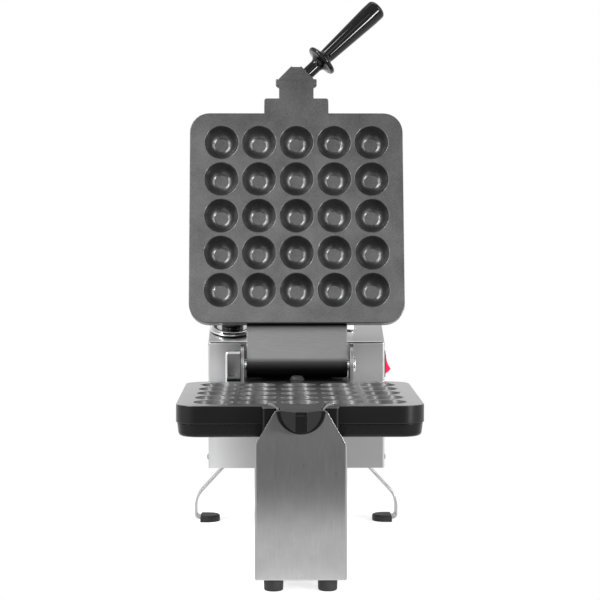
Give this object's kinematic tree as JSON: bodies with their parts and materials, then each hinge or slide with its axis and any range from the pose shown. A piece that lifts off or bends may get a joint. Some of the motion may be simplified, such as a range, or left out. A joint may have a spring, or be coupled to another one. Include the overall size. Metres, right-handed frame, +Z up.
{
  "type": "waffle ball maker",
  "caption": "Countertop waffle ball maker: hinged plates with half-ball cups on a turning carrier, stainless stand, rear control housing.",
  "frame": {"origin": "under the middle of the whole object, on the table", "axes": "+X across to the switch side, +Y back to the housing, +Z up"},
  "size_m": [0.24, 0.4792, 0.5984],
  "materials": {
    "nonstick_casting": "dark grey non-stick coating, fine grain",
    "dark_case": "black heat-proof enamel",
    "element_sheath": "oxidised steel sheath",
    "insulation_felt": "mineral fibre board",
    "stainless_sheet": "brushed stainless sheet, vertical grain",
    "satin_steel": "satin machined steel",
    "polished_steel": "polished",
    "black_rubber": "matt rubber",
    "bearing_bronze": "turned bronze",
    "black_moulding": "glossy black phenolic",
    "matt_moulding": "matt black moulding",
    "pale_moulding": "off-white ceramic-filled moulding",
    "red_moulding": "translucent red rocker",
    "lamp_lens": "clear faceted lens"
  },
  "bodies": {
    "stand": {"column_shell": "stainless_sheet", "column_back_cover": "stainless_sheet", "spine_channel": "stainless_sheet", "spine_riser": "stainless_sheet", "rear_leg_left": "stainless_sheet", "rear_leg_right": "stainless_sheet", "housing_cover": "stainless_sheet", "housing_base": "stainless_sheet", "housing_back_panel": "stainless_sheet", "saddle_strip": "polished_steel", "pilot_lamp_bezel": "polished_steel", "bearing_bracket_front": "satin_steel", "bearing_bracket_rear": "satin_steel", "cover_screw_left_front": "satin_steel", "cover_screw_left_back": "satin_steel", "cover_screw_right_front": "satin_steel", "cover_screw_right_back": "satin_steel", "front_foot_left": "black_rubber", "front_foot_right": "black_rubber", "rear_foot_left": "black_rubber", "rear_foot_right": "black_rubber", "shaft_bush_front": "bearing_bronze", "shaft_bush_rear": "bearing_bronze", "switch_frame": "matt_moulding", "thermostat_body": "matt_moulding", "safety_limiter": "matt_moulding", "cable_gland": "matt_moulding", "terminal_block": "pale_moulding", "pilot_lamp_lens": "lamp_lens"},
    "carrier": {"lower_grill_plate": "nonstick_casting", "lower_heating_case": "dark_case", "lower_heating_element": "element_sheath", "lower_insulation_pad": "insulation_felt", "lower_case_screw_back_left": "satin_steel", "lower_case_screw_back_right": "satin_steel", "lower_case_screw_front_left": "satin_steel", "lower_case_screw_front_right": "satin_steel", "carrier_yoke": "satin_steel", "wire_duct": "polished_steel", "hinge_pin": "polished_steel", "hinge_pin_nut": "satin_steel", "closing_bumper": "black_rubber", "turning_shaft": "satin_steel", "shaft_ring": "satin_steel"},
    "lid": {"upper_grill_plate": "nonstick_casting", "upper_heating_case": "dark_case", "upper_heating_element": "element_sheath", "upper_insulation_pad": "insulation_felt", "upper_case_screw_back_left": "satin_steel", "upper_case_screw_back_right": "satin_steel", "upper_case_screw_front_left": "satin_steel", "upper_case_screw_front_right": "satin_steel", "hinge_arm": "satin_steel", "handle_stud": "polished_steel", "handle_grip": "black_moulding"},
    "knob": {"knob_skirt": "polished_steel", "knob_grip": "black_moulding", "knob_spindle": "satin_steel"},
    "rocker": {"rocker_cap": "red_moulding"}
  },
  "joints": [
    {"name": "iron_turn", "type": "hinge", "parent": "stand", "child": "carrier", "pos_m": [0, 0.0556, 0.1745], "axis": [0, 1, 0], "range_deg": [-15, 15]},
    {"name": "lid_hinge", "type": "hinge", "parent": "carrier", "child": "lid", "pos_m": [0, 0.1005, 0.1885], "axis": [1, 0, 0], "range_deg": [0, 102.64]},
    {"name": "knob_turn", "type": "hinge", "parent": "stand", "child": "knob", "pos_m": [-0.073, 0.17261, 0.22181], "axis": [0, -0.2756, 0.9613], "range_deg": [-300, 0]},
    {"name": "rocker_tilt", "type": "hinge", "parent": "stand", "child": "rocker", "pos_m": [0.0971, 0.1616, 0.1848], "axis": [0, 1, 0], "range_deg": [0, 36]}
  ]
}
